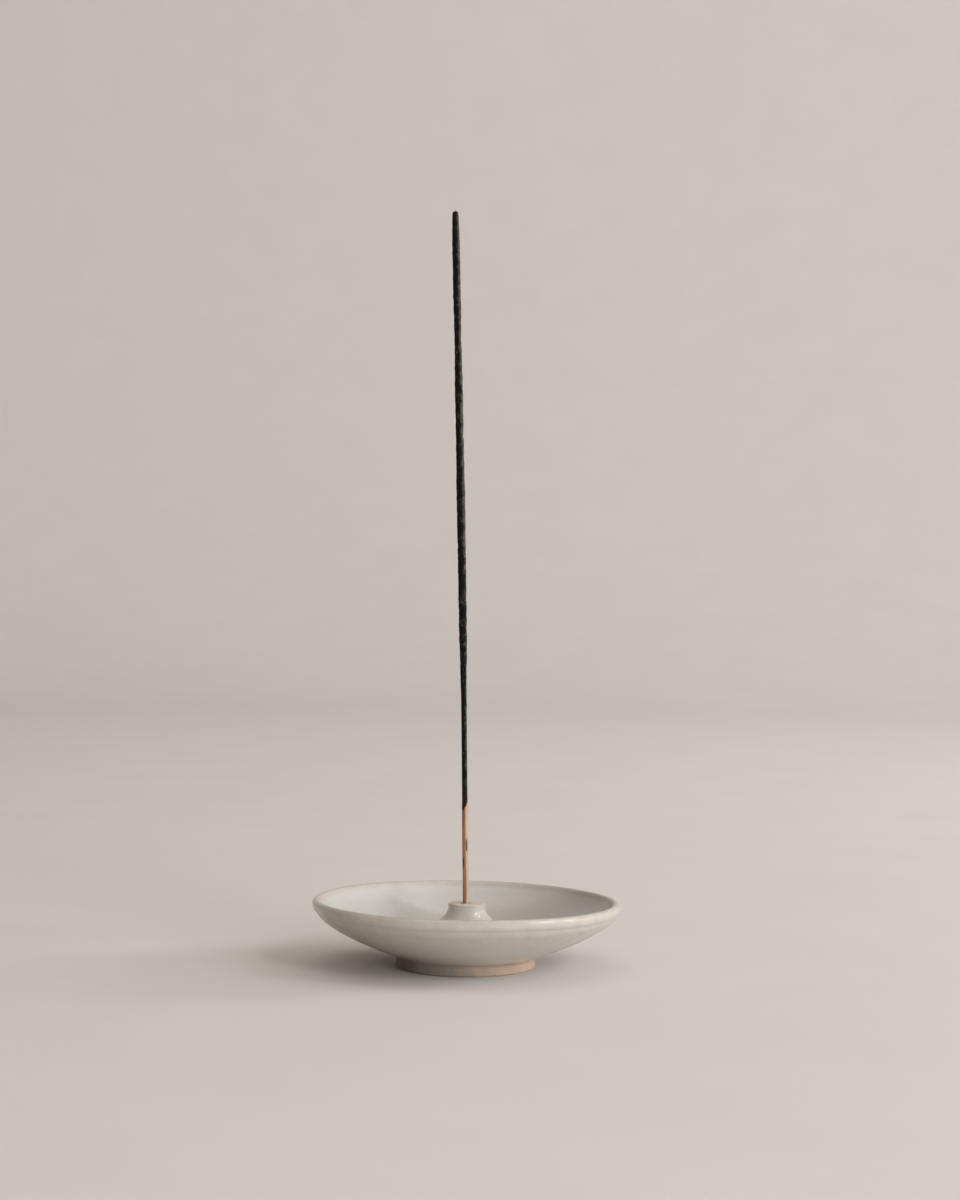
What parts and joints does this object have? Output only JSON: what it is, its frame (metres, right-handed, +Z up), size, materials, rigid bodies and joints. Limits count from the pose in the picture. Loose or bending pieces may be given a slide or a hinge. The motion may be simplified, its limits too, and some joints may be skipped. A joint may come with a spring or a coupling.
{
  "type": "incense burner",
  "caption": "Shallow stoneware dish on a turned foot, with a flared post in the middle that holds one incense stick upright over it, so that the ash falls into the dish.",
  "frame": {"origin": "on the table, under the middle of the foot ring", "axes": "+Z up, along the post's axis; -Y towards the viewer; the stick leans towards -X"},
  "size_m": [0.096, 0.096, 0.2357],
  "materials": {
    "stoneware": "matte",
    "glaze": "satin",
    "bamboo": "matte",
    "incense_paste": "matte"
  },
  "bodies": {
    "holder": {"saucer_body": "stoneware", "saucer_glaze": "glaze", "centre_post": "stoneware", "post_glaze": "glaze"},
    "stick": {"bamboo_core": "bamboo", "incense_coat": "incense_paste"}
  },
  "joints": [
    {"name": "stick_lift", "type": "slide", "parent": "holder", "child": "stick", "axis": [-0.0209, 0, 0.9998], "range_m": [0, 0.04]}
  ]
}
